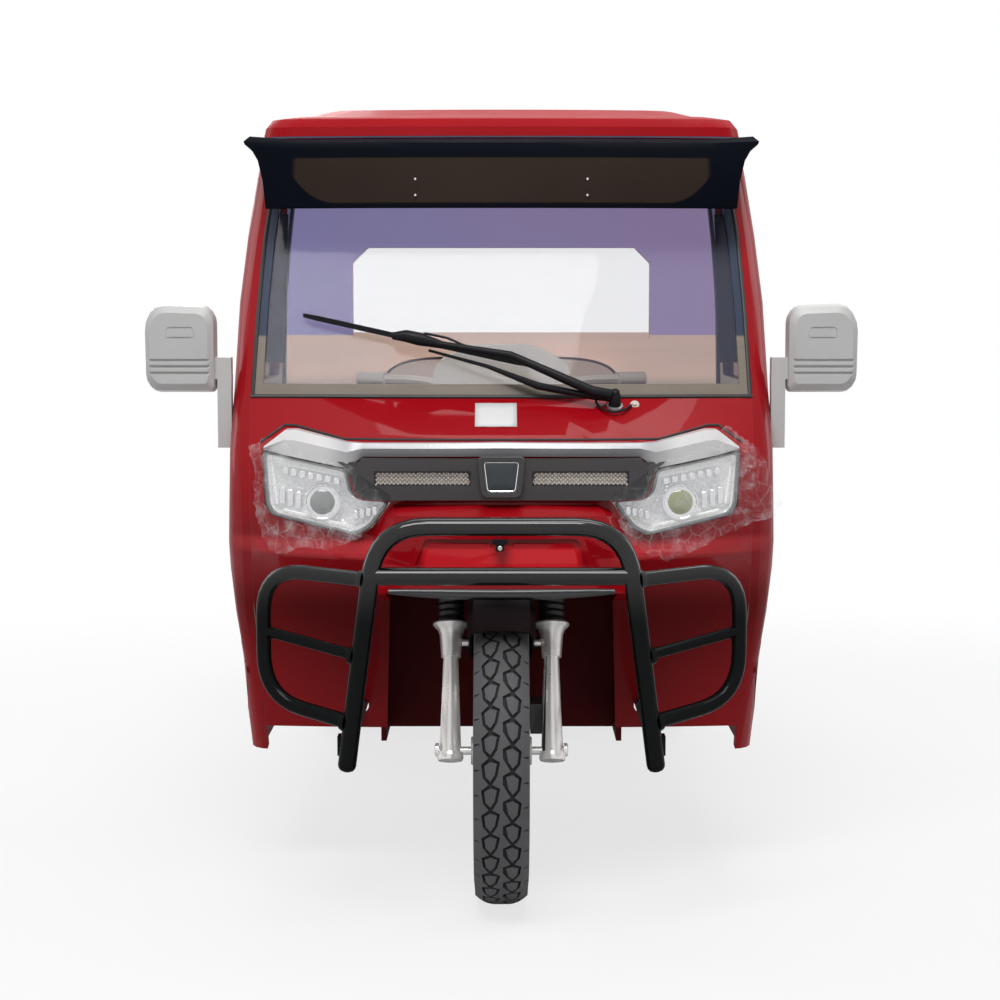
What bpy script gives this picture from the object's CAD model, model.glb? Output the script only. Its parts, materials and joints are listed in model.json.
"""Looks of an enclosed-cab electric cargo tricycle, for Blender 4.5. Metres, +Z up, the front faces -Y."""
import json
import math

import bmesh
import bpy
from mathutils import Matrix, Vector, noise


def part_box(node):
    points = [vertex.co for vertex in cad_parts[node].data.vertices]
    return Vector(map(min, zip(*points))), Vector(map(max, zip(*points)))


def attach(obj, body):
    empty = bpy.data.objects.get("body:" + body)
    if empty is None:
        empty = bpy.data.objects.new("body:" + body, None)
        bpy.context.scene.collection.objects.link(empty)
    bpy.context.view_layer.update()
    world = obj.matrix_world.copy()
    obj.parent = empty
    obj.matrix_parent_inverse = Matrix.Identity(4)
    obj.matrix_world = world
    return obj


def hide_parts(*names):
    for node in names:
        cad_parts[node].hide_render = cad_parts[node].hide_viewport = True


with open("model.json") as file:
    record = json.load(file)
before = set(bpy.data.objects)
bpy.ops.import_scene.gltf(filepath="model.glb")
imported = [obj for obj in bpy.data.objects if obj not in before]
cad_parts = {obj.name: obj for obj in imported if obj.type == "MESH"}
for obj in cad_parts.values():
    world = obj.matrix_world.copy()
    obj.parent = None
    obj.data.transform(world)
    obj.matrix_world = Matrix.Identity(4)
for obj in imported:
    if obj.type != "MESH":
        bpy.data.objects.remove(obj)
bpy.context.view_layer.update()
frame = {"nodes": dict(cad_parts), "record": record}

# View: a long lens straight ahead of the vehicle at about a standing person's chest, tipped down a
# little, over a pale floor that shows white to the camera and keeps the shadow.
CAMERA_PLACE = Vector((-0.003, -5.65, 1.30))
CAMERA_TIP = math.radians(5.418)
CAMERA_LENS = 75.13

camera_data = bpy.data.cameras.new("camera")
camera_data.lens = CAMERA_LENS
camera_data.sensor_width = 36.0
camera = bpy.data.objects.new("camera", camera_data)
camera.location = CAMERA_PLACE
camera.rotation_euler = (math.radians(90) - CAMERA_TIP, 0, 0)
bpy.context.scene.collection.objects.link(camera)
bpy.context.scene.camera = camera
bpy.context.scene.view_settings.view_transform = "Standard"


class Sock:
    """A shader socket, so that maths on it reads as a Python expression."""

    def __init__(self, finish, socket):
        self.finish = finish
        self.socket = socket

    def maths(self, operation, first, second=None):
        """One maths node on sockets or numbers."""
        node = self.finish.tree.nodes.new("ShaderNodeMath")
        node.operation = operation
        for index, value in enumerate((first, second)):
            if isinstance(value, Sock):
                self.finish.tree.links.new(value.socket, node.inputs[index])
            elif value is not None:
                node.inputs[index].default_value = value
        return Sock(self.finish, node.outputs[0])

    def __add__(self, other):
        return self.maths("ADD", self, other)

    def __radd__(self, other):
        return self.maths("ADD", other, self)

    def __sub__(self, other):
        return self.maths("SUBTRACT", self, other)

    def __rsub__(self, other):
        return self.maths("SUBTRACT", other, self)

    def __mul__(self, other):
        return self.maths("MULTIPLY", self, other)

    def __rmul__(self, other):
        return self.maths("MULTIPLY", other, self)

    def clamp(self):
        """The same number, held between 0 and 1."""
        held = self.maths("ADD", self, 0.0)
        held.socket.node.use_clamp = True
        return held

    def smooth(self, low, high):
        """0 below low, 1 above high, with a soft step between."""
        return self.finish.node("ShaderNodeMapRange", {"interpolation_type": "SMOOTHSTEP"},
                                {"Value": self, "From Min": low, "From Max": high})


class Finish:
    """One material. Constants go on the shader's own sockets, and feed() links what varies."""

    def __init__(self, name, colour, roughness, metallic=0.0, **constants):
        self.material = bpy.data.materials.new(name)
        self.material.use_nodes = True
        self.tree = self.material.node_tree
        self.shader = self.tree.nodes["Principled BSDF"]
        self.shader.inputs["Base Color"].default_value = (*colour, 1.0)
        self.shader.inputs["Roughness"].default_value = roughness
        self.shader.inputs["Metallic"].default_value = metallic
        for socket, value in constants.items():
            self.shader.inputs[socket.replace("_", " ")].default_value = value

    def node(self, kind, settings=(), sockets=(), out=0):
        """Any other node: its settings first, then the values or links of its sockets."""
        made = self.tree.nodes.new(kind)
        for key, value in dict(settings).items():
            setattr(made, key, value)
        for key, value in dict(sockets).items():
            if isinstance(value, Sock):
                self.tree.links.new(value.socket, made.inputs[key])
            elif value is not None:
                made.inputs[key].default_value = value
        return Sock(self, made.outputs[out])

    def place(self):
        """A point's own place, in metres."""
        return self.node("ShaderNodeTexCoord", out="Object")

    def axes(self):
        """The X, Y and Z of a point, each as a number."""
        place = self.place()
        split = self.node("ShaderNodeSeparateXYZ", (), {0: place})
        outputs = split.socket.node.outputs
        return [Sock(self, outputs[index]) for index in range(3)]

    def noise(self, scale, detail=3.0, rough=0.5, stretch=None):
        """Soft noise between 0 and 1, finer along the axes that stretch enlarges."""
        where = self.place()
        if stretch is not None:
            where = self.node("ShaderNodeMapping", (), {"Vector": where, "Scale": stretch})
        return self.node("ShaderNodeTexNoise", (), {"Vector": where, "Scale": scale, "Detail": detail,
                                                    "Roughness": rough})

    def mix(self, share, first, second):
        """A colour mix of two colours or colour sockets."""
        first = (*first, 1.0) if isinstance(first, tuple) and len(first) == 3 else first
        second = (*second, 1.0) if isinstance(second, tuple) and len(second) == 3 else second
        return self.node("ShaderNodeMix", {"data_type": "RGBA"}, {0: share, 6: first, 7: second}, 2)

    def bump(self, height, strength, distance=0.001):
        """Relief from a height."""
        bump = self.node("ShaderNodeBump", (), {"Height": height, "Strength": strength, "Distance": distance})
        self.feed("Normal", bump)

    def feed(self, socket, value):
        """Links what varies to one of the shader's sockets."""
        self.tree.links.new(value.socket, self.shader.inputs[socket])


DUST = (0.30, 0.26, 0.22)
DUST_TOP_Z = 0.95
DUST_FULL_Z = 0.15
GLOSS_SPREAD = 0.22


def used(name, colour, roughness, metallic=0.0, grain=0.0, grain_scale=900.0, tone=0.12, dust=0.0,
         **constants):
    """A finish with a slow change of tone, uneven gloss, a fine grain and dust towards the ground.

    With no tone the caller feeds the colour itself."""
    finish = Finish(name, colour, roughness, metallic, **constants)
    patch = finish.noise(11.0, 5.0, 0.6)
    gloss = (patch - 0.5) * GLOSS_SPREAD + roughness
    if tone:
        dark = tuple(part * (1 - tone) for part in colour)
        light = tuple(min(1.0, part * (1 + tone)) for part in colour)
        shade = finish.mix(finish.noise(4.0, 4.0, 0.55), dark, light)
        if dust:
            low = (1 - finish.axes()[2].smooth(DUST_FULL_Z, DUST_TOP_Z)) * dust
            film = (low * (0.35 + patch)).clamp()
            shade = finish.mix(film, shade, DUST)
            gloss = gloss + film * 0.45
        finish.feed("Base Color", shade)
    finish.feed("Roughness", gloss.clamp())
    if grain:
        finish.bump(finish.noise(grain_scale, 2.0, 0.5), grain)
    return finish


# Floor and light: a soft studio, even enough that each colour renders about as it is written.
FLOOR_HALF = 12.0
FADE_NEAR = 1.9
FADE_FAR = 3.7
FLOOR_WHITE = 0.74

floor_mesh = bpy.data.meshes.new("floor")
floor_mesh.from_pydata([(-FLOOR_HALF, -FLOOR_HALF, 0), (FLOOR_HALF, -FLOOR_HALF, 0),
                        (FLOOR_HALF, FLOOR_HALF, 0), (-FLOOR_HALF, FLOOR_HALF, 0)], [], [(0, 1, 2, 3)])
floor = bpy.data.objects.new("floor", floor_mesh)
bpy.context.scene.collection.objects.link(floor)
floor_finish = Finish("pale floor", (0.80, 0.80, 0.80), 0.9)
floor_mesh.materials.append(floor_finish.material)
grain = floor_finish.noise(2.0, 3.0)
floor_finish.feed("Base Color", floor_finish.mix(grain, (0.79, 0.79, 0.79), (0.83, 0.83, 0.83)))
far = floor_finish.node("ShaderNodeVectorMath", {"operation": "LENGTH"}, {0: floor_finish.place()}, "Value")
faded = far.smooth(FADE_NEAR, FADE_FAR)
floor_finish.feed("Alpha", 1 - faded)
white = floor_finish.node("ShaderNodeEmission", (), {"Color": (1, 1, 1, 1)})
clear = floor_finish.node("ShaderNodeBsdfTransparent")
veil = floor_finish.node("ShaderNodeMixShader", (), {0: faded, 1: white, 2: clear})
lit = Sock(floor_finish, floor_finish.shader.outputs[0])
share = floor_finish.node("ShaderNodeLightPath", out="Is Camera Ray") * FLOOR_WHITE
shown = floor_finish.node("ShaderNodeMixShader", (), {0: share, 1: lit, 2: veil})
floor_finish.tree.links.new(shown.socket, floor_finish.tree.nodes["Material Output"].inputs["Surface"])

world = bpy.data.worlds.new("studio")
bpy.context.scene.world = world
world.use_nodes = True
world_tree = world.node_tree
sky = world_tree.nodes["Background"]
sky.inputs["Color"].default_value = (0.80, 0.83, 0.88, 1.0)
sky.inputs["Strength"].default_value = 0.24
backdrop = world_tree.nodes.new("ShaderNodeBackground")
backdrop.inputs["Color"].default_value = (1, 1, 1, 1)
backdrop.inputs["Strength"].default_value = 1.0
rays = world_tree.nodes.new("ShaderNodeLightPath")
blend = world_tree.nodes.new("ShaderNodeMixShader")
bright = rays.outputs["Is Camera Ray"]
for ray in ("Is Glossy Ray", "Is Transmission Ray"):
    either = world_tree.nodes.new("ShaderNodeMath")
    either.operation = "MAXIMUM"
    world_tree.links.new(bright, either.inputs[0])
    world_tree.links.new(rays.outputs[ray], either.inputs[1])
    bright = either.outputs[0]
world_tree.links.new(bright, blend.inputs[0])
world_tree.links.new(sky.outputs[0], blend.inputs[1])
world_tree.links.new(backdrop.outputs[0], blend.inputs[2])
world_tree.links.new(blend.outputs[0], world_tree.nodes["World Output"].inputs["Surface"])


def soft_light(name, place, aim, power, width, height):
    """A rectangular lamp that looks at a point."""
    data = bpy.data.lights.new(name, "AREA")
    data.shape = "RECTANGLE"
    data.size = width
    data.size_y = height
    data.energy = power
    lamp = bpy.data.objects.new(name, data)
    lamp.location = place
    lamp.rotation_mode = "QUATERNION"
    lamp.rotation_quaternion = (Vector(aim) - Vector(place)).to_track_quat("-Z", "Y")
    bpy.context.scene.collection.objects.link(lamp)


soft_light("key", (-0.8, -4.6, 5.6), (0, -0.9, 1.0), 200, 3.4, 1.6)
soft_light("cowl", (0.6, -2.4, 4.6), (0, -1.1, 1.0), 45, 2.6, 0.9)
soft_light("left", (-4.6, 0.8, 2.4), (0, 0.2, 0.8), 30, 1.6, 2.6)
soft_light("right", (4.8, 0.8, 2.4), (0, 0.2, 0.8), 30, 1.6, 2.6)
soft_light("top", (0.4, 1.2, 5.0), (0, 0.5, 0.6), 90, 3.6, 3.0)
soft_light("rear", (-2.2, 5.0, 3.2), (0, 0.6, 0.7), 80, 3.0, 2.0)

# Joining: each piece made here rides on the body of a CAD node and takes that node's slot, and either
# stands for the node or is added to it. The frame's record says which body and slot each node has.
body_of_node = {}
for body_name, members in frame["record"]["behaviour"]["bodies"].items():
    for member in members:
        body_of_node[member] = body_name


def coat(node, finish):
    """Give a CAD node a finish."""
    slots = frame["nodes"][node].material_slots
    if len(slots) == 0:
        frame["nodes"][node].data.materials.append(finish.material)
    for entry in slots:
        entry.material = finish.material


def settle(piece, node, replaced=True):
    """A new piece takes a node's body and slot, and its place if it stands for it."""
    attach(piece, body_of_node[node])
    if replaced:
        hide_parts(node)
    return piece


def object_from(name, bm, finish, angle=35.0):
    """A smooth object with one finish, whose edges sharper than an angle stay sharp."""
    mesh = bpy.data.meshes.new(name)
    bm.to_mesh(mesh)
    bm.free()
    mesh.materials.append(finish.material)
    mesh.shade_smooth()
    mesh.set_sharp_from_angle(angle=math.radians(angle))
    made = bpy.data.objects.new(name, mesh)
    bpy.context.scene.collection.objects.link(made)
    return made


def baked(piece):
    """Put a piece's modifiers into its mesh."""
    bpy.context.view_layer.update()
    graph = bpy.context.evaluated_depsgraph_get()
    mesh = bpy.data.meshes.new_from_object(piece.evaluated_get(graph), preserve_all_data_layers=True,
                                           depsgraph=graph)
    piece.modifiers.clear()
    piece.data = mesh


def modified(piece, kind, **settings):
    """A piece changed by one modifier."""
    modifier = piece.modifiers.new(kind, kind)
    for key, value in settings.items():
        setattr(modifier, key, value)
    baked(piece)


def dressed(node, finish, edge=0.0015, angle=35.0, segments=2, inside=None, shape=None):
    """A node's own shape with rounded edges. inside is a second finish and the test of its faces."""
    bm = bmesh.new()
    bm.from_mesh(frame["nodes"][node].data)
    if shape:
        for vert in bm.verts:
            shape(vert.co)
    bmesh.ops.remove_doubles(bm, verts=bm.verts, dist=2e-5)
    bmesh.ops.dissolve_limit(bm, angle_limit=math.radians(0.8), verts=bm.verts, edges=bm.edges)
    if inside:
        bm.normal_update()
        for face in bm.faces:
            face.material_index = 1 if inside[1](face.normal, face.calc_center_median()) else 0
    piece = object_from(f"{node}_dressed", bm, finish, angle)
    if inside:
        piece.data.materials.append(inside[0].material)
    if edge:
        modified(piece, "BEVEL", width=edge, segments=segments, limit_method="ANGLE",
                 angle_limit=math.radians(angle), harden_normals=True)
    return settle(piece, node)


# Chassis: ladder rails, cross-members, neck and spring hangers, welded from box section and tube and
# painted satin black. Road dust lies on it towards the ground.
frame_paint = used("black frame paint", (0.022, 0.022, 0.024), 0.42, grain=0.10, grain_scale=420.0,
                   dust=0.25)
for node in ("chassis_frame", "rear_axle"):
    dressed(node, frame_paint)
for side in ("left", "right"):
    dressed(f"leaf_spring_{side}", frame_paint, 0.0008)

# Battery box and seat box: moulded cases in dark grained plastic, bolted between the rails and to the
# cab floor.
case_plastic = used("dark housing", (0.035, 0.035, 0.038), 0.55, grain=0.25, dust=0.2)
coat("battery_box", case_plastic)
coat("seat_base", case_plastic)

# Cab floor and wheel well: a ribbed rubber mat, and a liner in the body's red that stays in shade.
mat_rubber = used("floor mat", (0.045, 0.045, 0.047), 0.78, grain=0.4, grain_scale=260.0, dust=0.25)
coat("cab_floor", mat_rubber)
liner = used("well liner", (0.075, 0.0020, 0.0030), 0.55, tone=0.40, grain=0.2, Specular_IOR_Level=0.10)
coat("wheel_well", liner)

# Painted panels: pressed steel and moulded panels in deep red gloss under a clear coat, a little wavy
# as such panels are. Inside the cab they carry a cloth-like lining, lavender above a tan lower part.
RED = (0.335, 0.0016, 0.0060)
LOW_RED = (0.130, 0.0010, 0.0020)
BLOCK_RED = (0.66, 0.016, 0.024)
LEDGE_RED = (0.60, 0.030, 0.040)
LINING_LINE_Z = 1.2146
LAVENDER = (0.235, 0.225, 0.430)
LAVENDER_WARM = (0.290, 0.215, 0.380)
LINING_TAN = (0.560, 0.400, 0.320)
LINING_LOW = (0.330, 0.280, 0.220)
LINING_GLOW = 0.75
CAB_FLOOR_Z = 0.46

# The colour is darker on the low panels under the lamps, and brighter on the nose's block and the ledges
# beside it, which face the sky. Each place is a band of heights and of squared X, ahead of some Y.
red_paint = used("red paint", RED, 0.40, tone=None, Coat_Weight=0.35, Coat_Roughness=0.04,
                 Specular_IOR_Level=0.06)
red_x, red_y, red_z = red_paint.axes()
red_span = red_x * red_x
low_share = (1 - red_z.smooth(0.610, 0.740)) * (1 - red_y.smooth(-1.060, -0.940))
low_share = low_share * red_span.smooth(0.040, 0.056)
red_paint.feed("Coat Weight", 0.30 - low_share * 0.27)
panel_red = red_paint.mix(red_paint.noise(4.0, 4.0), (0.310, 0.0015, 0.0055), (0.365, 0.0020, 0.0075))
block_share = (1 - red_span.smooth(0.024, 0.031)) * (1 - red_z.smooth(0.780, 0.790))
block_share = block_share * red_z.smooth(0.712, 0.722) * (1 - red_y.smooth(-1.20, -1.15))
panel_red = red_paint.mix(block_share, panel_red, BLOCK_RED)
ledge_share = red_z.smooth(0.750, 0.764) * (1 - red_z.smooth(0.782, 0.802)) * red_span.smooth(0.050, 0.070)
panel_red = red_paint.mix(ledge_share * (1 - red_y.smooth(-1.140, -1.080)), panel_red, LEDGE_RED)
red_paint.feed("Base Color", red_paint.mix(low_share, panel_red, LOW_RED))
wave = red_paint.noise(3.4, 2.0, 0.45)
ripple = red_paint.noise(11.0, 3.0, 0.5, stretch=(0.6, 1.0, 1.6))
red_paint.bump(wave + ripple * 0.35, 0.30, 0.010)


def lining(name, upper, upper_warm, lower, lowest):
    """Lining cloth whose colour changes at one height, with a fine weave."""
    finish = Finish(name, upper, 0.8)
    x, y, z = finish.axes()
    slow = finish.noise(2.2, 3.0, 0.5)
    top = finish.mix((x * 0.9 + slow).clamp(), upper, upper_warm)
    streaks = finish.noise(9.0, 4.0, 0.6, stretch=(0.25, 1.0, 2.4))
    low = finish.mix(streaks, tuple(part * 0.86 for part in lower), tuple(part * 1.12 for part in lower))
    low = finish.mix(z.smooth(1.075, 1.115), lowest, low)
    cloth = finish.mix(z.smooth(LINING_LINE_Z - 0.002, LINING_LINE_Z + 0.002), low, top)
    finish.feed("Base Color", cloth)
    finish.feed("Emission Color", cloth)
    finish.shader.inputs["Emission Strength"].default_value = LINING_GLOW
    finish.feed("Roughness", (slow * 0.2 + 0.68).clamp())
    finish.bump(finish.noise(700.0, 2.0, 0.5), 0.2)
    return finish


wall_lining = lining("rear lining", LAVENDER, LAVENDER_WARM, LINING_TAN, LINING_LOW)
side_lining = lining("side lining", (0.060, 0.085, 0.140), (0.075, 0.085, 0.135), (0.17, 0.14, 0.115),
                     (0.12, 0.10, 0.085))


def faces_in(side):
    """A test for the faces of a cab side that look into the cab."""
    return lambda normal, centre: normal.x * side < -0.35 and centre.z > CAB_FLOOR_Z


def slim_hinge(place):
    """Draws the hinge knuckles in, which the photograph hardly shows."""
    wall = min(0.603, 0.586 + (place.z - 0.534) * 0.15)
    if abs(place.x) > wall and place.y < -0.92 and place.z > 0.43:
        place.x = math.copysign(wall + (abs(place.x) - wall) * 0.08, place.x)


for side, name in ((1, "left"), (-1, "right")):
    dressed(f"side_frame_{name}", red_paint, inside=(side_lining, faces_in(side)), shape=slim_hinge)
    dressed(f"door_{name}", red_paint, inside=(side_lining, faces_in(side)), shape=slim_hinge)
fascia = dressed("front_fascia", red_paint, 0.0030, 30.0, 3)

ROOF_CROWN = 0.014
ROOF_LINED_HALF = 0.46


def crowned(place):
    """The roof's pressed top swells a little above its flat solid."""
    place.z += ROOF_CROWN * min(1.0, max(0.0, (place.z - 1.700) / 0.030))


def under_roof(normal, centre):
    """The roof's faces that look down into the cab."""
    return normal.z < -0.5 and abs(centre.x) < ROOF_LINED_HALF


roof_red = used("roof paint", RED, 0.45, Coat_Weight=0.12, Coat_Roughness=0.15, Specular_IOR_Level=0.06)
roof_red.bump(roof_red.noise(5.0, 3.0, 0.5, stretch=(1.0, 2.0, 1.0)), 0.25, 0.010)
dressed("roof", roof_red, inside=(side_lining, under_roof), shape=crowned)
dressed("rear_wall", red_paint, inside=(wall_lining, lambda normal, centre: normal.y < -0.5))
bed_paint = used("red bed paint", RED, 0.40, tone=0.14, dust=0.06, Coat_Weight=0.4, Coat_Roughness=0.10,
                 Specular_IOR_Level=0.2)
for node in ("bed_floor", "bed_headboard", "bed_side_left", "bed_side_right", "tailgate"):
    dressed(node, bed_paint)

# Brow: one moulded strip in satin silver paint, clipped over the grille and both lamps. Its lower band
# is greyer, as if it had picked up dust, and its ends over the lamps are paler.
silver = used("silver trim", (0.52, 0.52, 0.53), 0.30, 0.10, tone=None, Coat_Weight=0.25,
              Coat_Roughness=0.15)
strip_x, _, strip_z = silver.axes()
strip_span = strip_x * strip_x
low_band = 1 - strip_z.smooth(0.978, 0.986)
middle_band = 1 - strip_span.smooth(0.075, 0.105)
silver_tone = silver.mix(silver.noise(5.0, 4.0), (0.47, 0.47, 0.48), (0.57, 0.57, 0.58))
silver_tone = silver.mix(strip_span.smooth(0.095, 0.150), silver_tone, (0.88, 0.86, 0.85))
silver.feed("Base Color", silver.mix(low_band * middle_band * 0.7, silver_tone, (0.36, 0.36, 0.36)))
dressed("brow_trim", silver, 0.0025, 25.0, 3)

# Grille: a charcoal moulding with two insets of bright fine lattice and a bare shield whose rim is
# chrome and whose face is dark grey.
GRILLE_FACE_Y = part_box("grille")[0][1] + 0.010
LATTICE_X = (0.066, 0.266)
LATTICE_Z = (0.915, 0.945)
LATTICE_PITCH = 0.0092
SHIELD = ((0.036, 0.897), (0.044, 0.9715))
SHIELD_MIDDLE = (0, 0.935)

charcoal = used("charcoal plastic", (0.030, 0.026, 0.028), 0.42, grain=0.3, Coat_Weight=0.15)
dressed("grille", charcoal, 0.0012)
chrome = used("bright chrome", (0.78, 0.78, 0.80), 0.12, 1.0, tone=0.06)


def instanced(name, tile, points_mesh, finish, turns=False):
    """A tile put on each vertex of a mesh by Geometry Nodes, made real and given its finish."""
    group = bpy.data.node_groups.new(name, "GeometryNodeTree")
    group.interface.new_socket("Places", in_out="INPUT", socket_type="NodeSocketGeometry")
    tile_socket = group.interface.new_socket("Tile", in_out="INPUT", socket_type="NodeSocketObject")
    group.interface.new_socket("Result", in_out="OUTPUT", socket_type="NodeSocketGeometry")
    nodes = group.nodes
    start = nodes.new("NodeGroupInput")
    end = nodes.new("NodeGroupOutput")
    info = nodes.new("GeometryNodeObjectInfo")
    spread = nodes.new("GeometryNodeInstanceOnPoints")
    real = nodes.new("GeometryNodeRealizeInstances")
    given = nodes.new("GeometryNodeSetMaterial")
    given.inputs["Material"].default_value = finish.material
    group.links.new(start.outputs["Places"], spread.inputs["Points"])
    group.links.new(start.outputs["Tile"], info.inputs["Object"])
    group.links.new(info.outputs["Geometry"], spread.inputs["Instance"])
    if turns:
        angle = nodes.new("GeometryNodeInputNamedAttribute")
        angle.data_type = "FLOAT_VECTOR"
        angle.inputs["Name"].default_value = "turn"
        group.links.new(angle.outputs["Attribute"], spread.inputs["Rotation"])
    group.links.new(spread.outputs["Instances"], real.inputs["Geometry"])
    group.links.new(real.outputs["Geometry"], given.inputs["Geometry"])
    group.links.new(given.outputs["Geometry"], end.inputs["Result"])
    holder = bpy.data.objects.new(name, points_mesh)
    bpy.context.scene.collection.objects.link(holder)
    modifier = holder.modifiers.new("spread", "NODES")
    modifier.node_group = group
    modifier[tile_socket.identifier] = tile
    baked(holder)
    bpy.data.objects.remove(tile, do_unlink=True)
    bpy.data.node_groups.remove(group)
    return holder


def tile_from(name, bm):
    """A hidden object that only serves as a tile."""
    mesh = bpy.data.meshes.new(name)
    bm.to_mesh(mesh)
    bm.free()
    made = bpy.data.objects.new(name, mesh)
    bpy.context.scene.collection.objects.link(made)
    return made


def points_from(name, places, turns=None):
    """A mesh of loose points, with a turn stored on each if given."""
    mesh = bpy.data.meshes.new(name)
    mesh.from_pydata([tuple(place) for place in places], [], [])
    if turns is not None:
        stored = mesh.attributes.new("turn", "FLOAT_VECTOR", "POINT")
        for index, turn in enumerate(turns):
            stored.data[index].vector = turn
    return mesh


def arc(before, corner, after, radius, steps):
    """Points that round a corner off, between the runs before and after it."""
    reach = min(radius, 0.45 * (before - corner).length, 0.45 * (after - corner).length)
    start = corner + (before - corner).normalized() * reach
    end = corner + (after - corner).normalized() * reach
    shares = [step / steps for step in range(steps + 1)]
    return [start.lerp(corner, share).lerp(corner.lerp(end, share), share) for share in shares]


def rounded(outline, radius, steps=4):
    """A closed outline with each corner turned into an arc."""
    corners = [Vector(corner) for corner in outline]
    made = []
    for index, corner in enumerate(corners):
        made += arc(corners[index - 1], corner, corners[(index + 1) % len(corners)], radius, steps)
    return made


def lofted(bm, rings, cap_first=True, cap_last=True):
    """Skin through rings of points with the same count."""
    made = [[bm.verts.new(point) for point in ring] for ring in rings]
    count = len(made[0])
    for first, second in zip(made, made[1:]):
        for index in range(count):
            after = (index + 1) % count
            bm.faces.new((first[index], first[after], second[after], second[index]))
    if cap_first:
        bm.faces.new(reversed(made[0]))
    if cap_last:
        bm.faces.new(made[-1])


def outward(bm):
    """Closes the mesh's seams and turns its faces outward."""
    bmesh.ops.remove_doubles(bm, verts=bm.verts, dist=1e-6)
    bmesh.ops.recalc_face_normals(bm, faces=bm.faces)
    return bm


def fitted(name, bm, finish, node, angle=35.0, replaced=False):
    """A piece from a mesh, settled on a node."""
    settle(object_from(name, outward(bm), finish, angle), node, replaced)


def circle(centre, across, up, radius, sides):
    """Points round a centre, in the plane of two directions."""
    angles = [math.tau * turn / sides for turn in range(sides)]
    return [centre + (across * math.cos(angle) + up * math.sin(angle)) * radius for angle in angles]


def add_turned(bm, place, axis, profile, sides=24):
    """A solid of revolution: profile is distance along the axis and radius."""
    axis = Vector(axis).normalized()
    across = axis.orthogonal().normalized()
    up = axis.cross(across)
    lofted(bm, [circle(Vector(place) + axis * reach, across, up, radius, sides) for reach, radius in profile])


def add_tube(bm, path, radius, sides=10):
    """A round tube along a path, of one radius or of one for each point."""
    path = [Vector(point) for point in path]
    across = None
    rings = []
    for index, point in enumerate(path):
        direction = Vector()
        if index:
            direction += (point - path[index - 1]).normalized()
        if index < len(path) - 1:
            direction += (path[index + 1] - point).normalized()
        direction.normalize()
        across = direction.orthogonal() if across is None else across - direction * across.dot(direction)
        across.normalize()
        size = radius[index] if isinstance(radius, (list, tuple)) else radius
        rings.append(circle(point, across, direction.cross(across), size, sides))
    lofted(bm, rings)


def add_block(bm, low, high):
    """A box between two corners."""
    corners = [(low[0], low[1]), (high[0], low[1]), (high[0], high[1]), (low[0], high[1])]
    lofted(bm, [[(x, y, z) for x, y in corners] for z in (low[2], high[2])])


stud = bmesh.new()
half = LATTICE_PITCH * 0.44
lofted(stud, [[(-half, 0, 0), (0, 0, -half * 1.15), (half, 0, 0), (0, 0, half * 1.15)],
              [(-half * 0.35, -0.0022, 0), (0, -0.0022, -half * 0.4), (half * 0.35, -0.0022, 0),
               (0, -0.0022, half * 0.4)]])
outward(stud)
places = []
for side in (1, -1):
    columns = int((LATTICE_X[1] - LATTICE_X[0]) / LATTICE_PITCH * 2)
    rows = int((LATTICE_Z[1] - LATTICE_Z[0]) / LATTICE_PITCH)
    for column in range(columns):
        for row in range(rows):
            x = LATTICE_X[0] + LATTICE_PITCH * (column + 1) / 2
            z = LATTICE_Z[0] + LATTICE_PITCH * (row + (0.75 if column % 2 else 0.30))
            places.append((side * x, GRILLE_FACE_Y + 0.0115, z))
lattice_metal = used("lattice chrome", (0.62, 0.58, 0.54), 0.25, 0.60, tone=0.30)
lattice = instanced("grille_lattice", tile_from("stud", stud), points_from("stud places", places),
                    lattice_metal)
settle(lattice, "grille", False)

shield_face = used("shield face", (0.030, 0.036, 0.042), 0.35, grain=0.15)
(foot_x, foot_z), (head_x, head_z) = SHIELD
shield_outline = [(foot_x, foot_z), (head_x, head_z), (-head_x, head_z), (-foot_x, foot_z)]
shield_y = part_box("grille")[0][1]


def drawn_in(outline, centre, gap):
    """An outline's points, each moved towards the centre by a gap."""
    ways = [Vector(point) - Vector(centre) for point in outline]
    return [Vector(centre) + away * (1 - gap / away.length) for away in ways]


def shield_ring(gap, depth):
    """The shield's outline drawn in by a gap, at a depth under the grille's front."""
    return [(held.x, shield_y + depth, held.y) for held in drawn_in(soft_shield, SHIELD_MIDDLE, gap)]


soft_shield = rounded(shield_outline, 0.011, 5)
RIM_STEPS = ((0.0070, 0.0010), (0.0066, -0.0012), (0.0082, -0.0020), (0.0100, -0.0012), (0.0104, 0.0010))
FACE_STEPS = ((0.0102, 0.0020), (0.0106, -0.0002), (0.0140, -0.0012), (0.030, -0.0018))
SURROUND_STEPS = ((-0.0085, 0.0060), (-0.0085, -0.0040), (-0.0060, -0.0065), (0.0030, -0.0060),
                  (0.0066, -0.0010), (0.0066, 0.0060))
for name, steps, finish in (("shield_rim", RIM_STEPS, chrome), ("shield_face", FACE_STEPS, shield_face),
                            ("shield_surround", SURROUND_STEPS, charcoal)):
    part = bmesh.new()
    lofted(part, [shield_ring(gap, depth) for gap, depth in steps])
    fitted(name, part, finish, "grille")

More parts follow.
